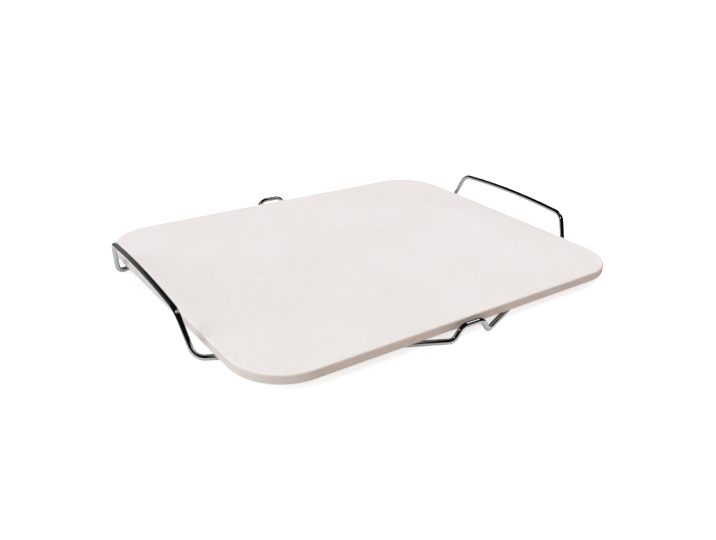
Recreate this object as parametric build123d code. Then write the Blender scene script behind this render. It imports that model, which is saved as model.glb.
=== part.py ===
from build123d import *
import math
import os

# Pizza stone: a rectangular baking stone that lies loose on a rack of bent and welded wire
# Millimetres. X runs from handle to handle, Y from stop to stop, Z up from the table.
# The origin is on the table, under the middle of the rack.

# Baking stone
stone_length = 381.0
stone_width = 305.0
stone_thickness = 8.0
stone_corner_radius = 44.0
stone_edge_bevel = 0.8

# Wire of the whole rack, and the space between it and the stone that rests on it
wire_diameter = 4.5
seat_clearance = 0.3

# Cross wires, welded down onto the long runs of the loop. They carry the stone.
cross_wire_spacing = 190.0
cross_wire_overhang = 1.5
weld_depth = 0.4

# Handles. The end play is how far the stone can slide from the middle towards one handle
# before its underside comes to the legs.
end_play = 4.2
leg_foot_spacing = 169.6
leg_spread = 14.1
leg_lean = 5.7
handle_rise = 19.2
handle_arch = 3.1
handle_arc_share = 0.85
leg_foot_bend_radius = 11.0
handle_bend_radius = 12.0

# Stops at the middle of the long sides. The side play is how far the stone can slide
# from the middle towards one stop.
side_play = 8.6
stop_top_width = 21.2
stop_foot_width = 35.9
stop_rise = 11.2
stop_top_bend_radius = 9.0
stop_foot_bend_radius = 7.5

# How the loose stone lies: the shares of its plays by which it is pushed and turned
lay_end_share = 0.46
lay_turn_share = 0.47
lay_side_share = 0.73

# Heights that the stone and the rack share
wire_radius = wire_diameter / 2
loop_height = wire_radius
cross_wire_height = loop_height + wire_diameter - weld_depth
stone_seat = cross_wire_height + wire_radius + seat_clearance
stone_top = stone_seat + stone_thickness


def quarter_corners():
    """Corners of the loop's centre line from the middle of one stop to the middle of one handle."""
    stop_y = stone_width / 2 + side_play + wire_radius
    stop_top_z = loop_height + stop_rise
    stop_middle = Vector(0, stop_y, stop_top_z)
    stop_top = Vector(stop_top_width / 2, stop_y, stop_top_z)
    stop_foot = Vector(stop_foot_width / 2, stop_y, loop_height)

    # The inner side of the leg passes the underside of the stone at the end play
    leg = Vector(leg_lean, -leg_spread, stone_top + handle_rise - loop_height)
    lean_at_seat = leg_lean * (stone_seat - loop_height) / leg.Z
    leg_foot_x = stone_length / 2 + end_play + wire_radius - lean_at_seat
    leg_foot = Vector(leg_foot_x, leg_foot_spacing / 2, loop_height)
    leg_top = leg_foot + leg
    arch_corner_rise = handle_arch / (1 - handle_arc_share / 2)
    handle_middle = Vector(leg_top.X, 0, leg_top.Z + arch_corner_rise)
    return [stop_middle, stop_top, stop_foot, leg_foot, leg_top, handle_middle]


def across(point):
    """The same point on the other side of the XZ plane."""
    return Vector(point.X, -point.Y, point.Z)


def half_loop():
    """Centre line of the half of the loop that holds one handle, from stop to stop."""
    quarter = quarter_corners()
    *_, leg_top, handle_middle = quarter
    half_bar = handle_middle - leg_top
    other_half_bar = across(leg_top) - handle_middle
    half_turn = math.radians(half_bar.get_angle(other_half_bar) / 2)
    arch_radius = handle_arc_share * half_bar.length / math.tan(half_turn)
    side_radii = [
        stop_top_bend_radius,
        stop_foot_bend_radius,
        leg_foot_bend_radius,
        handle_bend_radius,
    ]
    corners = quarter + [across(corner) for corner in reversed(quarter[:-1])]
    radii = side_radii + [arch_radius] + side_radii[::-1]
    return FilletPolyline(*corners, radius=radii)


def make_cross_wire():
    """A straight wire that lies on the front and back runs and ends just past them."""
    stop_foot, leg_foot = quarter_corners()[2:4]
    run = leg_foot - stop_foot
    place_x = cross_wire_spacing / 2
    run_y = stop_foot.Y + run.Y * (place_x - stop_foot.X) / run.X
    run_half_width = wire_radius * run.length / run.X
    length = 2 * (run_y + run_half_width + cross_wire_overhang)
    return Pos(place_x, 0, cross_wire_height) * Rot(90, 0, 0) * Cylinder(wire_radius, length)


def make_stone():
    """A flat slab with round corners and bevelled edges, laid loose."""
    outline = RectangleRounded(stone_length, stone_width, stone_corner_radius)
    slab = extrude(outline, amount=stone_thickness)
    rims = slab.faces().sort_by(Axis.Z)
    slab = chamfer(rims[0].edges() + rims[-1].edges(), stone_edge_bevel)
    push_x = lay_end_share * end_play
    push_y = -lay_side_share * side_play
    turn = math.degrees(math.atan(lay_turn_share * end_play / (leg_foot_spacing / 2)))
    return Pos(push_x, push_y, stone_seat) * Rot(0, 0, turn) * slab


def make_wire_rack():
    """A closed loop of round wire, bent into two handles and two stops, with its cross wires."""
    centre_line = half_loop()
    section = Plane(centre_line @ 0, z_dir=centre_line % 0) * Circle(wire_radius)
    half = sweep(section, path=centre_line)
    expected_volume = math.pi * wire_radius ** 2 * centre_line.length
    print(f"half loop: length {centre_line.length:.1f}, swept volume {half.volume:.1f},"
          f" section times length {expected_volume:.1f}")
    half = half + make_cross_wire()
    return half + mirror(half, about=Plane.YZ)


parts = {
    "baking_stone": make_stone(),
    "wire_rack": make_wire_rack(),
}

os.makedirs("parts", exist_ok=True)
for name, shape in parts.items():
    shape.label = name
    export_step(shape, f"parts/{name}.step")
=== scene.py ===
"""Dresses the pizza stone: fired ceramic, a chrome wire rack and a white studio."""

import math

import bmesh
import bpy
from bpy.props import FloatProperty, FloatVectorProperty, PointerProperty
from mathutils import Matrix, Vector


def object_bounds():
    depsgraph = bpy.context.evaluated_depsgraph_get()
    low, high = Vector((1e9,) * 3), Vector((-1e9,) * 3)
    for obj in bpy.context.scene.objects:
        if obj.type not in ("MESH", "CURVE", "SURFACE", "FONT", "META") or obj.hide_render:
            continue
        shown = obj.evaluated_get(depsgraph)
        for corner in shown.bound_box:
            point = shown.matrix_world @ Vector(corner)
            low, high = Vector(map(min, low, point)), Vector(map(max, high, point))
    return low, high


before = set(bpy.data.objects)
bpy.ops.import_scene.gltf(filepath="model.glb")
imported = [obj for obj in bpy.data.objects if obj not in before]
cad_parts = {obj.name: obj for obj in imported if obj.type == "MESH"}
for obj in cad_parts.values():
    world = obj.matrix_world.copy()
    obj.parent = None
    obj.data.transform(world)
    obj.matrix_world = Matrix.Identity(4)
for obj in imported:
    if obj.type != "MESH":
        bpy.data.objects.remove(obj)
cad_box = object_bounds()

bl_info = {
    "name": "Pizza stone",
    "version": (1, 0, 0),
    "blender": (4, 5, 0),
    "location": "View3D > Sidebar > Pizza stone",
    "description": "Finishes and studio for a baking stone on a bent wire rack",
    "category": "Object",
}


# Settings -----------------------------------------------------------------------------------


def colour_setting(name, description, default):
    """A colour that a user may change, in linear values."""
    return FloatVectorProperty(
        name=name,
        description=description,
        subtype="COLOR",
        size=3,
        min=0.0,
        max=1.0,
        default=default,
    )


def length_setting(name, description, default):
    """A length that a user may change, in metres."""
    return FloatProperty(
        name=name,
        description=description,
        unit="LENGTH",
        precision=5,
        min=0.0,
        default=default,
    )


def share_setting(name, description, default):
    """A number between 0 and 1 that a user may change."""
    return FloatProperty(
        name=name,
        description=description,
        subtype="FACTOR",
        min=0.0,
        max=1.0,
        default=default,
    )


def level_setting(name, description, default):
    """A level of light that a user may change. At 1, white paper renders as white."""
    return FloatProperty(name=name, description=description, min=0.0, default=default)


class StoneLook(bpy.types.PropertyGroup):
    """Colours, grain and pores of the baking stone, with painted shade on its rim and in its pores
    """

    top_colour: colour_setting(
        "Top", "Colour of the smooth baking surface", (0.846, 0.799, 0.780)
    )
    cloud_colour: colour_setting(
        "Clouds", "Colour of the paler clouds in the top", (0.862, 0.824, 0.810)
    )
    # The rim colour is the clay's warmer tone, and is also darker than the top as painted shade on
    # the sides
    side_colour_and_shade: colour_setting(
        "Sides", "Colour of the pressed rim", (0.772, 0.650, 0.580)
    )
    # This colour paints the real stains in the rim and also the painted shade in the open pores
    rim_stain_and_pore_shade_colour: colour_setting(
        "Side stains", "Colour of the darker patches in the rim", (0.716, 0.592, 0.520)
    )
    underside_colour: colour_setting(
        "Underside", "Colour of the face that lies on the rack", (0.790, 0.715, 0.660)
    )
    fleck_colour: colour_setting(
        "Flecks", "Colour of the tan grains in the clay", (0.600, 0.500, 0.420)
    )
    cloud_size: length_setting("Cloud size", "Distance between two clouds", 0.085)
    grain_size: length_setting("Grain size", "Distance between two sand grains", 0.0008)
    fleck_spacing: length_setting("Fleck spacing", "Distance between two flecks", 0.0045)
    grain_relief: length_setting("Grain relief", "Height of the sand grains", 0.00006)
    pore_spacing: length_setting("Pore spacing", "Distance between two pores", 0.0060)
    pore_depth: length_setting("Pore depth", "Depth of the open pores", 0.00025)
    roughness: share_setting("Roughness", "Roughness of the fired surface", 0.88)
    arris_radius: length_setting("Arris radius", "Rounding of the two bevels' edges", 0.00030)


class WireLook(bpy.types.PropertyGroup):
    """Plating of the wire rack"""

    plate_colour: colour_setting("Plating", "Colour of the bright plating", (0.600, 0.605, 0.612))
    haze_colour: colour_setting(
        "Haze", "Colour of the plating where it has dulled a little", (0.545, 0.548, 0.552)
    )
    bright_roughness: share_setting("Bright", "Roughness of the brightest plating", 0.030)
    haze_roughness: share_setting("Dulled", "Roughness of the dulled plating", 0.095)
    haze_size: length_setting("Haze size", "Distance between two dulled patches", 0.018)
    ripple_length: length_setting("Ripple length", "Length of the ripples left by drawing", 0.009)
    ripple_depth: length_setting("Ripple depth", "Depth of the ripples left by drawing", 0.00002)


class StudioSetup(bpy.types.PropertyGroup):
    """Floor, lamps and the cards that the metal mirrors"""

    floor_colour: colour_setting("Floor", "Colour of the floor", (0.72, 0.72, 0.72))
    floor_size: length_setting("Floor size", "Length of each side of the floor", 16.0)
    floor_lift: share_setting("Floor lift", "Light added to the floor for the camera", 0.74)
    floor_glow: share_setting("Floor glow", "Light added to the floor as the metal sees it", 0.17)
    daylight: level_setting("Daylight", "Level of the even light from all round", 0.22)
    top_lamp: level_setting("Top lamp", "Level of the light from above", 0.595)
    side_lamp: level_setting("Side lamp", "Level of the cool light from the left", 0.80)
    front_lamp: level_setting("Front lamp", "Level of the warm light from the front", 0.05)
    apron_start: length_setting(
        "Apron start", "Distance from the rack at which the dark apron begins", 0.030
    )
    apron_end: length_setting("Apron end", "Distance at which the apron is all dark", 0.070)
    card_radius: length_setting("Card distance", "Distance of the black cards", 3.0)


# Node trees ---------------------------------------------------------------------------------

# Sockets of the mix node when it mixes colours
MIX_SHARE = 0
MIX_FIRST = 6
MIX_SECOND = 7
MIX_RESULT = 2

# Direction in which one layer of noise is moved away from another
NOISE_STEP = (1.0, 0.7, 1.3)

# Share of a spot's radius within which it has its full strength
SPOT_CORE = 0.4


def new_material(name):
    """An empty node material, and its tree."""
    material = bpy.data.materials.new(name)
    material.use_nodes = True
    material.node_tree.nodes.clear()
    return material, material.node_tree


def add(tree, kind, values=None, links=None, **settings):
    """Adds one node: its settings, its constant sockets and its linked sockets."""
    node = tree.nodes.new(kind)
    for name, value in settings.items():
        setattr(node, name, value)
    for socket, value in (values or {}).items():
        node.inputs[socket].default_value = value
    for socket, source in (links or {}).items():
        tree.links.new(source, node.inputs[socket])
    return node


def noise(tree, place, size, detail=2.0, roughness=0.5, offset=0.0):
    """Smooth noise whose lumps are that size apart, in metres."""
    moved = add(
        tree,
        "ShaderNodeVectorMath",
        values={1: [offset * step for step in NOISE_STEP]},
        links={0: place},
        operation="ADD",
    )
    return add(
        tree,
        "ShaderNodeTexNoise",
        values={"Scale": 1.0 / size, "Detail": detail, "Roughness": roughness},
        links={"Vector": moved.outputs[0]},
    ).outputs[0]


def spread(tree, value, low, high, to_low=0.0, to_high=1.0):
    """Stretches the values between low and high, and holds them at both ends."""
    return add(
        tree,
        "ShaderNodeMapRange",
        values={"From Min": low, "From Max": high, "To Min": to_low, "To Max": to_high},
        links={"Value": value},
        clamp=True,
    ).outputs[0]


def arithmetic(tree, operation, first, second):
    """One step of arithmetic on two sockets, or on a socket and a number."""
    node = add(tree, "ShaderNodeMath", operation=operation)
    for index, term in enumerate((first, second)):
        if isinstance(term, (int, float)):
            node.inputs[index].default_value = term
        else:
            tree.links.new(term, node.inputs[index])
    return node.outputs[0]


def blend_colours(tree, share, first, second, mode="MIX"):
    """Mixes two colours, each a socket or three numbers, by a share."""
    node = add(tree, "ShaderNodeMix", data_type="RGBA", blend_type=mode)
    for index, term in ((MIX_SHARE, share), (MIX_FIRST, first), (MIX_SECOND, second)):
        if isinstance(term, bpy.types.NodeSocket):
            tree.links.new(term, node.inputs[index])
        elif index == MIX_SHARE:
            node.inputs[index].default_value = term
        else:
            node.inputs[index].default_value = (*term, 1.0)
    return node.outputs[MIX_RESULT]


def spots(tree, place, spacing, radius, kept):
    """Round spots on jittered places: 1 in a spot's middle, 0 outside. Only a share is kept."""
    cells = add(
        tree,
        "ShaderNodeTexVoronoi",
        values={"Scale": 1.0 / spacing, "Randomness": 1.0},
        links={"Vector": place},
        feature="F1",
    )
    lot = add(tree, "ShaderNodeSeparateColor", links={0: cells.outputs["Color"]}).outputs[0]
    chosen = arithmetic(tree, "LESS_THAN", lot, kept)
    reach = radius / spacing
    near = spread(tree, cells.outputs["Distance"], reach, reach * SPOT_CORE)
    return arithmetic(tree, "MULTIPLY", near, chosen)


def finish_material(tree, shader):
    """Ends the tree with its output node."""
    add(tree, "ShaderNodeOutputMaterial", links={"Surface": shader})


# The baking stone ---------------------------------------------------------------------------

# Sizes of the layers, in metres
MOTTLE_SIZE = 0.0070
STAIN_SIZE = 0.0110
FLECK_RADIUS = 0.00042
PORE_RADIUS = 0.00050

# Share of the places that hold a fleck or a pore, how strongly a fleck colours the clay, and how
# strongly a pore darkens it as painted shade
FLECKS_KEPT = 0.42
PORES_KEPT = 0.35
FLECK_STRENGTH = 0.55
PORE_SHADE_STRENGTH = 0.5

# Stretch of the noise over which each layer comes in
CLOUD_SPAN = (0.35, 0.65)
STAIN_SPAN = (0.36, 0.68)
GRAIN_SPAN = (0.3, 0.7)

# How far the surface looks up where the top begins, and down where the underside begins. The top
# begins high up the bevel, so the arris keeps mostly the rim's darker colour as painted shade that
# dims its light line.
TOP_SPAN = (0.60, 0.95)
UNDERSIDE_SPAN = (-0.35, -0.85)

# What mottle and grain multiply the colour by, and what grain adds to the roughness
MOTTLE_SHADES = (0.988, 1.012)
GRAIN_SHADES = (0.972, 1.028)
GRAIN_GLOSS = (-0.06, 0.06)

CERAMIC_SHINE = 0.3
SAND_BUMP = 0.6
PORE_BUMP = 0.8

# Modifiers that round the bevels: lengths in metres, angle in degrees
WELD_DISTANCE = 0.000001
ARRIS_SEGMENTS = 3
ARRIS_ANGLE = 25.0
FACE_AREA_WEIGHT = 80


def fired_ceramic(look):
    """Unglazed clay: clouded pale top, warmer mottled rim darkened with painted shade, sand
    grains, flecks and open pores darkened with painted shade.
    """
    material, tree = new_material("fired_ceramic")
    where = add(tree, "ShaderNodeTexCoord")
    place = where.outputs["Object"]
    facing = add(tree, "ShaderNodeSeparateXYZ", links={0: where.outputs["Normal"]}).outputs[2]

    clouds = noise(tree, place, look.cloud_size, detail=3.0, roughness=0.55)
    clouds = spread(tree, clouds, *CLOUD_SPAN)
    mottle = noise(tree, place, MOTTLE_SIZE, detail=3.0, roughness=0.6, offset=3.0)
    grain = noise(tree, place, look.grain_size, detail=2.0, roughness=0.65, offset=7.0)
    stains = noise(tree, place, STAIN_SIZE, detail=4.0, roughness=0.65, offset=11.0)
    stains = spread(tree, stains, *STAIN_SPAN)
    flecks = spots(tree, place, look.fleck_spacing, FLECK_RADIUS, FLECKS_KEPT)
    pores = spots(tree, place, look.pore_spacing, PORE_RADIUS, PORES_KEPT)

    top = blend_colours(tree, clouds, look.top_colour, look.cloud_colour)
    # The rim blend carries the painted shade of the sides as well as the real stains
    rim = blend_colours(tree, stains, look.side_colour_and_shade, look.rim_stain_and_pore_shade_colour)
    # The upper arris bevel stays mostly rim-coloured: painted shade over its light line
    upward = spread(tree, facing, *TOP_SPAN)
    downward = spread(tree, facing, *UNDERSIDE_SPAN)
    colour = blend_colours(tree, upward, rim, top)
    colour = blend_colours(tree, downward, colour, look.underside_colour)
    shade = arithmetic(
        tree,
        "MULTIPLY",
        spread(tree, mottle, *GRAIN_SPAN, *MOTTLE_SHADES),
        spread(tree, grain, *GRAIN_SPAN, *GRAIN_SHADES),
    )
    colour = blend_colours(tree, 1.0, colour, shade, "MULTIPLY")
    fleck_share = arithmetic(tree, "MULTIPLY", flecks, FLECK_STRENGTH)
    colour = blend_colours(tree, fleck_share, colour, look.fleck_colour)
    # The open pores are darkened towards the stain colour: painted shade in the holes
    pore_shade_share = arithmetic(tree, "MULTIPLY", pores, PORE_SHADE_STRENGTH)
    colour = blend_colours(tree, pore_shade_share, colour, look.rim_stain_and_pore_shade_colour)

    sanded = spread(tree, grain, *GRAIN_SPAN, *GRAIN_GLOSS)
    gloss = arithmetic(tree, "ADD", sanded, look.roughness)
    sand = add(
        tree,
        "ShaderNodeBump",
        values={"Strength": SAND_BUMP, "Distance": look.grain_relief},
        links={"Height": grain},
    )
    pitted = add(
        tree,
        "ShaderNodeBump",
        values={"Strength": PORE_BUMP, "Distance": look.pore_depth},
        links={"Height": pores, "Normal": sand.outputs[0]},
        invert=True,
    )
    shader = add(
        tree,
        "ShaderNodeBsdfPrincipled",
        values={"Specular IOR Level": CERAMIC_SHINE},
        links={"Base Color": colour, "Roughness": gloss, "Normal": pitted.outputs[0]},
    )
    finish_material(tree, shader.outputs[0])
    return material


def soften_arrises(stone, radius):
    """Rounds the edges of the bevels, as tumbling and firing leave them."""
    joined = stone.modifiers.new("joined_faces", "WELD")
    joined.merge_threshold = WELD_DISTANCE
    arris = stone.modifiers.new("soft_arrises", "BEVEL")
    arris.width = radius
    arris.segments = ARRIS_SEGMENTS
    arris.limit_method = "ANGLE"
    arris.angle_limit = math.radians(ARRIS_ANGLE)
    arris.harden_normals = True
    shading = stone.modifiers.new("even_shading", "WEIGHTED_NORMAL")
    shading.mode = "FACE_AREA"
    shading.weight = FACE_AREA_WEIGHT


class PIZZASTONE_OT_dress_stone(bpy.types.Operator):
    """Give the baking stone its fired ceramic"""

    bl_idname = "pizza_stone.dress_stone"
    bl_label = "Dress the baking stone"
    bl_options = {"REGISTER", "UNDO"}

    def execute(self, context):
        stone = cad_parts["baking_stone"]
        look = context.scene.stone_look
        stone.material_slots[0].material = fired_ceramic(look)
        soften_arrises(stone, look.arris_radius)
        return {"FINISHED"}


# The wire rack ------------------------------------------------------------------------------

# Stretch of the noise over which the haze and the scuffs come in
HAZE_SPAN = (0.42, 0.75)
SCUFF_SPAN = (0.55, 0.8)

# Distance between two scuffs in metres, and what a scuff adds to the roughness
SCUFF_SIZE = 0.0009
SCUFF_ROUGHNESS = 0.05

RIPPLE_BUMP = 0.5


def bright_chrome(look):
    """Bright plating on drawn wire: faint ripples from drawing and slightly dulled patches."""
    material, tree = new_material("bright_chrome")
    place = add(tree, "ShaderNodeTexCoord").outputs["Object"]
    haze = noise(tree, place, look.haze_size, detail=4.0, roughness=0.6)
    haze = spread(tree, haze, *HAZE_SPAN)
    ripples = noise(tree, place, look.ripple_length, detail=1.0, roughness=0.5, offset=5.0)
    scuffs = noise(tree, place, SCUFF_SIZE, detail=2.0, roughness=0.6, offset=9.0)

    colour = blend_colours(tree, haze, look.plate_colour, look.haze_colour)
    gloss = spread(tree, haze, 0.0, 1.0, look.bright_roughness, look.haze_roughness)
    scuffed = spread(tree, scuffs, *SCUFF_SPAN, 0.0, SCUFF_ROUGHNESS)
    gloss = arithmetic(tree, "ADD", gloss, scuffed)
    wavy = add(
        tree,
        "ShaderNodeBump",
        values={"Strength": RIPPLE_BUMP, "Distance": look.ripple_depth},
        links={"Height": ripples},
    )
    shader = add(
        tree,
        "ShaderNodeBsdfPrincipled",
        values={"Metallic": 1.0},
        links={"Base Color": colour, "Roughness": gloss, "Normal": wavy.outputs[0]},
    )
    finish_material(tree, shader.outputs[0])
    return material


class PIZZASTONE_OT_dress_rack(bpy.types.Operator):
    """Give the wire rack its bright plating"""

    bl_idname = "pizza_stone.dress_rack"
    bl_label = "Dress the wire rack"
    bl_options = {"REGISTER", "UNDO"}

    def execute(self, context):
        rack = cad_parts["wire_rack"]
        rack.material_slots[0].material = bright_chrome(context.scene.wire_look)
        return {"FINISHED"}


# The studio ---------------------------------------------------------------------------------

# The camera, fitted to the photograph: place in metres, angles in degrees, lens in millimetres
CAMERA_PLACE = (-0.361399, -0.515428, 0.283689)
CAMERA_AZIMUTH = -35.452
CAMERA_ELEVATION = 24.795
CAMERA_ROLL = 2.315
CAMERA_LENS = 36.6312
SENSOR_WIDTH = 36.0

# Level of what the metal sees as black, and of the dim wall at the back
BLACK_LEVEL = 0.006
WALL_LEVEL = 0.25

# Shares of the dome's radius over which the wall comes in, downwards and towards the back
WALL_HEIGHT_SPAN = (0.52, 0.30)
WALL_DEPTH_SPAN = (0.60, 0.97)

DOME_ROWS = 24
DOME_COLUMNS = 48
APRON_HEIGHT = 0.0004

# The large bright card, high on the right, and the small one, up on the left
GLINT_DIRECTION = (0.60, -0.15, 0.79)
GLINT_DISTANCE = 2.4
GLINT_SIZE = (0.70, 0.90)
GLINT_LEVEL = 2.2
SPARK_PLACE = (-0.500, -0.240, 0.500)
SPARK_SIZE = (0.10, 0.10)
SPARK_LEVEL = 6.0

WHITE = (1.0, 1.0, 1.0, 1.0)


def seen_directly(tree):
    """1 for what is seen, also in metal or through glass, and 0 for light that falls on things."""
    path = add(tree, "ShaderNodeLightPath").outputs
    mirrored = arithmetic(tree, "MAXIMUM", path["Is Glossy Ray"], path["Is Transmission Ray"])
    return arithmetic(tree, "MAXIMUM", path["Is Camera Ray"], mirrored)


def show_only_in_metal(thing):
    """A card that nothing but polished metal sees: it throws no light and no shadow."""
    thing.visible_camera = False
    thing.visible_diffuse = False
    thing.visible_transmission = False
    thing.visible_volume_scatter = False
    thing.visible_shadow = False


def mesh_object(name, shape):
    """Turns a bmesh into an object of the scene."""
    mesh = bpy.data.meshes.new(name)
    shape.to_mesh(mesh)
    shape.free()
    thing = bpy.data.objects.new(name, mesh)
    bpy.context.scene.collection.objects.link(thing)
    return thing


def lay_floor(setup):
    """A plain white floor at the feet of the rack."""
    shape = bmesh.new()
    bmesh.ops.create_grid(shape, x_segments=2, y_segments=2, size=setup.floor_size / 2.0)
    floor = mesh_object("floor", shape)
    material, tree = new_material("white_floor")
    paint = add(tree, "ShaderNodeBsdfDiffuse", values={"Color": (*setup.floor_colour, 1.0)})
    camera_ray = add(tree, "ShaderNodeLightPath").outputs["Is Camera Ray"]
    level = spread(tree, camera_ray, 0.0, 1.0, setup.floor_glow, setup.floor_lift)
    lift = add(tree, "ShaderNodeEmission", links={"Strength": level})
    lifted = add(tree, "ShaderNodeAddShader", links={0: paint.outputs[0], 1: lift.outputs[0]})
    shader = add(
        tree,
        "ShaderNodeMixShader",
        links={0: seen_directly(tree), 1: paint.outputs[0], 2: lifted.outputs[0]},
    )
    finish_material(tree, shader.outputs[0])
    floor.data.materials.append(material)


def light_world(setup):
    """Even light from all round, and a white surround wherever it is seen."""
    world = bpy.data.worlds.new("white_surround")
    world.use_nodes = True
    tree = world.node_tree
    tree.nodes.clear()
    light = add(tree, "ShaderNodeBackground", values={"Color": WHITE, "Strength": setup.daylight})
    white = add(tree, "ShaderNodeBackground", values={"Color": WHITE, "Strength": 1.0})
    shader = add(
        tree,
        "ShaderNodeMixShader",
        links={0: seen_directly(tree), 1: light.outputs[0], 2: white.outputs[0]},
    )
    add(tree, "ShaderNodeOutputWorld", links={"Surface": shader.outputs[0]})
    bpy.context.scene.world = world


def hang_lamp(name, direction, level, width, colour):
    """A soft distant lamp, width in degrees. A white sheet that faces it renders at its level."""
    lamp = bpy.data.lights.new(name, "SUN")
    lamp.energy = level * math.pi
    lamp.angle = math.radians(width)
    lamp.color = colour
    thing = bpy.data.objects.new(name, lamp)
    bpy.context.scene.collection.objects.link(thing)
    thing.rotation_mode = "QUATERNION"
    thing.rotation_quaternion = Vector(direction).to_track_quat("Z", "Y")
    thing.visible_glossy = False


def hang_lamps(setup):
    """Faintly warm light from above, cool light from the left and a little from the front."""
    hang_lamp(
        "top_lamp",
        direction=(0.0, 0.0, 1.0),
        level=setup.top_lamp,
        width=80.0,
        colour=(1.0, 0.915, 0.855),
    )
    hang_lamp(
        "side_lamp",
        direction=(-1.0, 0.15, 0.35),
        level=setup.side_lamp,
        width=60.0,
        colour=(0.650, 0.850, 1.0),
    )
    hang_lamp(
        "front_lamp",
        direction=(0.25, -1.0, 0.25),
        level=setup.front_lamp,
        width=50.0,
        colour=(1.0, 0.80, 0.62),
    )


def half_sphere(radius):
    """A dome that stands on the floor, as a bmesh."""
    shape = bmesh.new()
    rings = []
    for row in range(DOME_ROWS):
        rise = math.pi / 2.0 * row / DOME_ROWS
        ring = []
        for column in range(DOME_COLUMNS):
            turn = 2.0 * math.pi * column / DOME_COLUMNS
            place = (
                radius * math.cos(rise) * math.cos(turn),
                radius * math.cos(rise) * math.sin(turn),
                radius * math.sin(rise),
            )
            ring.append(shape.verts.new(place))
        rings.append(ring)
    crown = shape.verts.new((0.0, 0.0, radius))
    for low, high in zip(rings, rings[1:]):
        for column in range(DOME_COLUMNS):
            after = (column + 1) % DOME_COLUMNS
            shape.faces.new((low[column], low[after], high[after], high[column]))
    for column in range(DOME_COLUMNS):
        after = (column + 1) % DOME_COLUMNS
        shape.faces.new((rings[-1][column], rings[-1][after], crown))
    return shape


def raise_dome(setup):
    """A black dome round the object, which is a dim grey wall low down at the back."""
    radius = setup.card_radius
    cards = mesh_object("black_cards", half_sphere(radius))
    material, tree = new_material("black_card")
    where = add(tree, "ShaderNodeTexCoord").outputs["Object"]
    place = add(tree, "ShaderNodeSeparateXYZ", links={0: where}).outputs
    low = spread(tree, place[2], *(radius * share for share in WALL_HEIGHT_SPAN))
    behind = spread(tree, place[1], *(radius * share for share in WALL_DEPTH_SPAN))
    wall = arithmetic(tree, "MULTIPLY", low, behind)
    level = spread(tree, wall, 0.0, 1.0, BLACK_LEVEL, WALL_LEVEL)
    shader = add(tree, "ShaderNodeEmission", links={"Strength": level})
    finish_material(tree, shader.outputs[0])
    cards.data.materials.append(material)
    show_only_in_metal(cards)


def lay_apron(setup):
    """A dark apron on the floor round the rack, which leaves the floor white near the wire."""
    shape = bmesh.new()
    bmesh.ops.create_grid(shape, x_segments=1, y_segments=1, size=setup.card_radius)
    bmesh.ops.translate(shape, vec=(0.0, 0.0, APRON_HEIGHT), verts=shape.verts)
    apron = mesh_object("dark_apron", shape)
    material, tree = new_material("dark_apron")
    place = add(tree, "ShaderNodeTexCoord").outputs["Object"]
    across = add(tree, "ShaderNodeVectorMath", links={0: place}, operation="ABSOLUTE").outputs[0]
    rack_corner = cad_box[1]
    outside = add(
        tree,
        "ShaderNodeVectorMath",
        values={1: (rack_corner[0], rack_corner[1], 1.0)},
        links={0: across},
        operation="SUBTRACT",
    ).outputs[0]
    outside = add(tree, "ShaderNodeVectorMath", links={0: outside}, operation="MAXIMUM").outputs[0]
    gap = add(tree, "ShaderNodeVectorMath", links={0: outside}, operation="LENGTH")
    dark = spread(tree, gap.outputs["Value"], setup.apron_start, setup.apron_end)
    shader = add(
        tree,
        "ShaderNodeMixShader",
        links={
            0: dark,
            1: add(tree, "ShaderNodeBsdfTransparent").outputs[0],
            2: add(tree, "ShaderNodeEmission", values={"Strength": BLACK_LEVEL}).outputs[0],
        },
    )
    finish_material(tree, shader.outputs[0])
    apron.data.materials.append(material)
    show_only_in_metal(apron)


def hang_bright_card(name, place, size, level):
    """A bright card that faces the object and shows in the metal as a streak or a spark."""
    shape = bmesh.new()
    bmesh.ops.create_grid(shape, x_segments=1, y_segments=1, size=0.5)
    bmesh.ops.scale(shape, vec=(*size, 1.0), verts=shape.verts)
    card = mesh_object(name, shape)
    card.rotation_mode = "QUATERNION"
    card.rotation_quaternion = place.to_track_quat("Z", "Y")
    card.location = place
    material, tree = new_material(name)
    shader = add(tree, "ShaderNodeEmission", values={"Strength": level})
    finish_material(tree, shader.outputs[0])
    card.data.materials.append(material)
    show_only_in_metal(card)


def hang_cards(setup):
    """The dark room that the chrome mirrors, with its two bright cards."""
    raise_dome(setup)
    lay_apron(setup)
    glint_place = Vector(GLINT_DIRECTION).normalized() * GLINT_DISTANCE
    hang_bright_card("bright_card", glint_place, GLINT_SIZE, GLINT_LEVEL)
    hang_bright_card("spark_card", Vector(SPARK_PLACE), SPARK_SIZE, SPARK_LEVEL)


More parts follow.
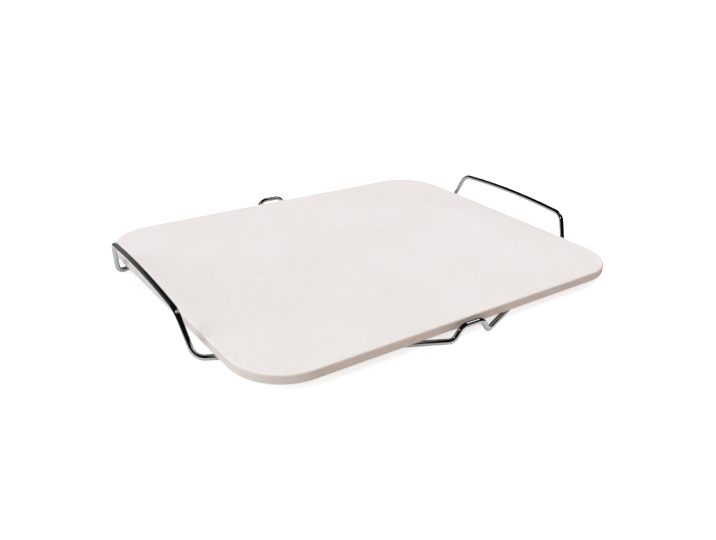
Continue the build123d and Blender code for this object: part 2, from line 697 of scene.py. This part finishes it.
def place_camera():
    """The camera where the photograph was taken from."""
    turn = math.radians(CAMERA_AZIMUTH)
    rise = math.radians(CAMERA_ELEVATION)
    roll = math.radians(CAMERA_ROLL)
    back = Vector(
        (math.sin(turn) * math.cos(rise), -math.cos(turn) * math.cos(rise), math.sin(rise))
    )
    level_right = Vector((math.cos(turn), math.sin(turn), 0.0))
    level_up = back.cross(level_right)
    right = math.cos(roll) * level_right + math.sin(roll) * level_up
    up = math.cos(roll) * level_up - math.sin(roll) * level_right
    lens = bpy.data.cameras.new("camera")
    lens.sensor_fit = "HORIZONTAL"
    lens.sensor_width = SENSOR_WIDTH
    lens.lens = CAMERA_LENS
    lens.clip_start = 0.01
    lens.clip_end = 100.0
    camera = bpy.data.objects.new("camera", lens)
    bpy.context.scene.collection.objects.link(camera)
    axes = Matrix((right, up, back)).transposed().to_4x4()
    camera.matrix_world = Matrix.Translation(CAMERA_PLACE) @ axes
    bpy.context.scene.camera = camera


class PIZZASTONE_OT_build_studio(bpy.types.Operator):
    """Lay the floor, hang the lamps and cards, and place the camera"""

    bl_idname = "pizza_stone.build_studio"
    bl_label = "Build the studio"
    bl_options = {"REGISTER", "UNDO"}

    def execute(self, context):
        setup = context.scene.studio_setup
        lay_floor(setup)
        light_world(setup)
        hang_lamps(setup)
        hang_cards(setup)
        place_camera()
        context.scene.view_settings.view_transform = "Standard"
        return {"FINISHED"}


# Panel and running --------------------------------------------------------------------------


class VIEW3D_PT_pizza_stone(bpy.types.Panel):
    """Settings and steps of the pizza stone"""

    bl_label = "Pizza stone"
    bl_space_type = "VIEW_3D"
    bl_region_type = "UI"
    bl_category = "Pizza stone"

    def draw(self, context):
        layout = self.layout
        for settings, step in (
            (context.scene.stone_look, PIZZASTONE_OT_dress_stone),
            (context.scene.wire_look, PIZZASTONE_OT_dress_rack),
            (context.scene.studio_setup, PIZZASTONE_OT_build_studio),
        ):
            box = layout.box()
            for name in type(settings).__annotations__:
                box.prop(settings, name)
            box.operator(step.bl_idname)


CLASSES = (
    StoneLook,
    WireLook,
    StudioSetup,
    PIZZASTONE_OT_dress_stone,
    PIZZASTONE_OT_dress_rack,
    PIZZASTONE_OT_build_studio,
    VIEW3D_PT_pizza_stone,
)


def register():
    """Adds the settings, operators and panel to Blender."""
    for part in CLASSES:
        bpy.utils.register_class(part)
    bpy.types.Scene.stone_look = PointerProperty(type=StoneLook)
    bpy.types.Scene.wire_look = PointerProperty(type=WireLook)
    bpy.types.Scene.studio_setup = PointerProperty(type=StudioSetup)


def unregister():
    """Takes them out again."""
    del bpy.types.Scene.studio_setup
    del bpy.types.Scene.wire_look
    del bpy.types.Scene.stone_look
    for part in reversed(CLASSES):
        bpy.utils.unregister_class(part)


def main():
    """Dresses the whole object."""
    register()
    bpy.ops.pizza_stone.dress_stone()
    bpy.ops.pizza_stone.dress_rack()
    bpy.ops.pizza_stone.build_studio()


if __name__ == "__main__":
    main()
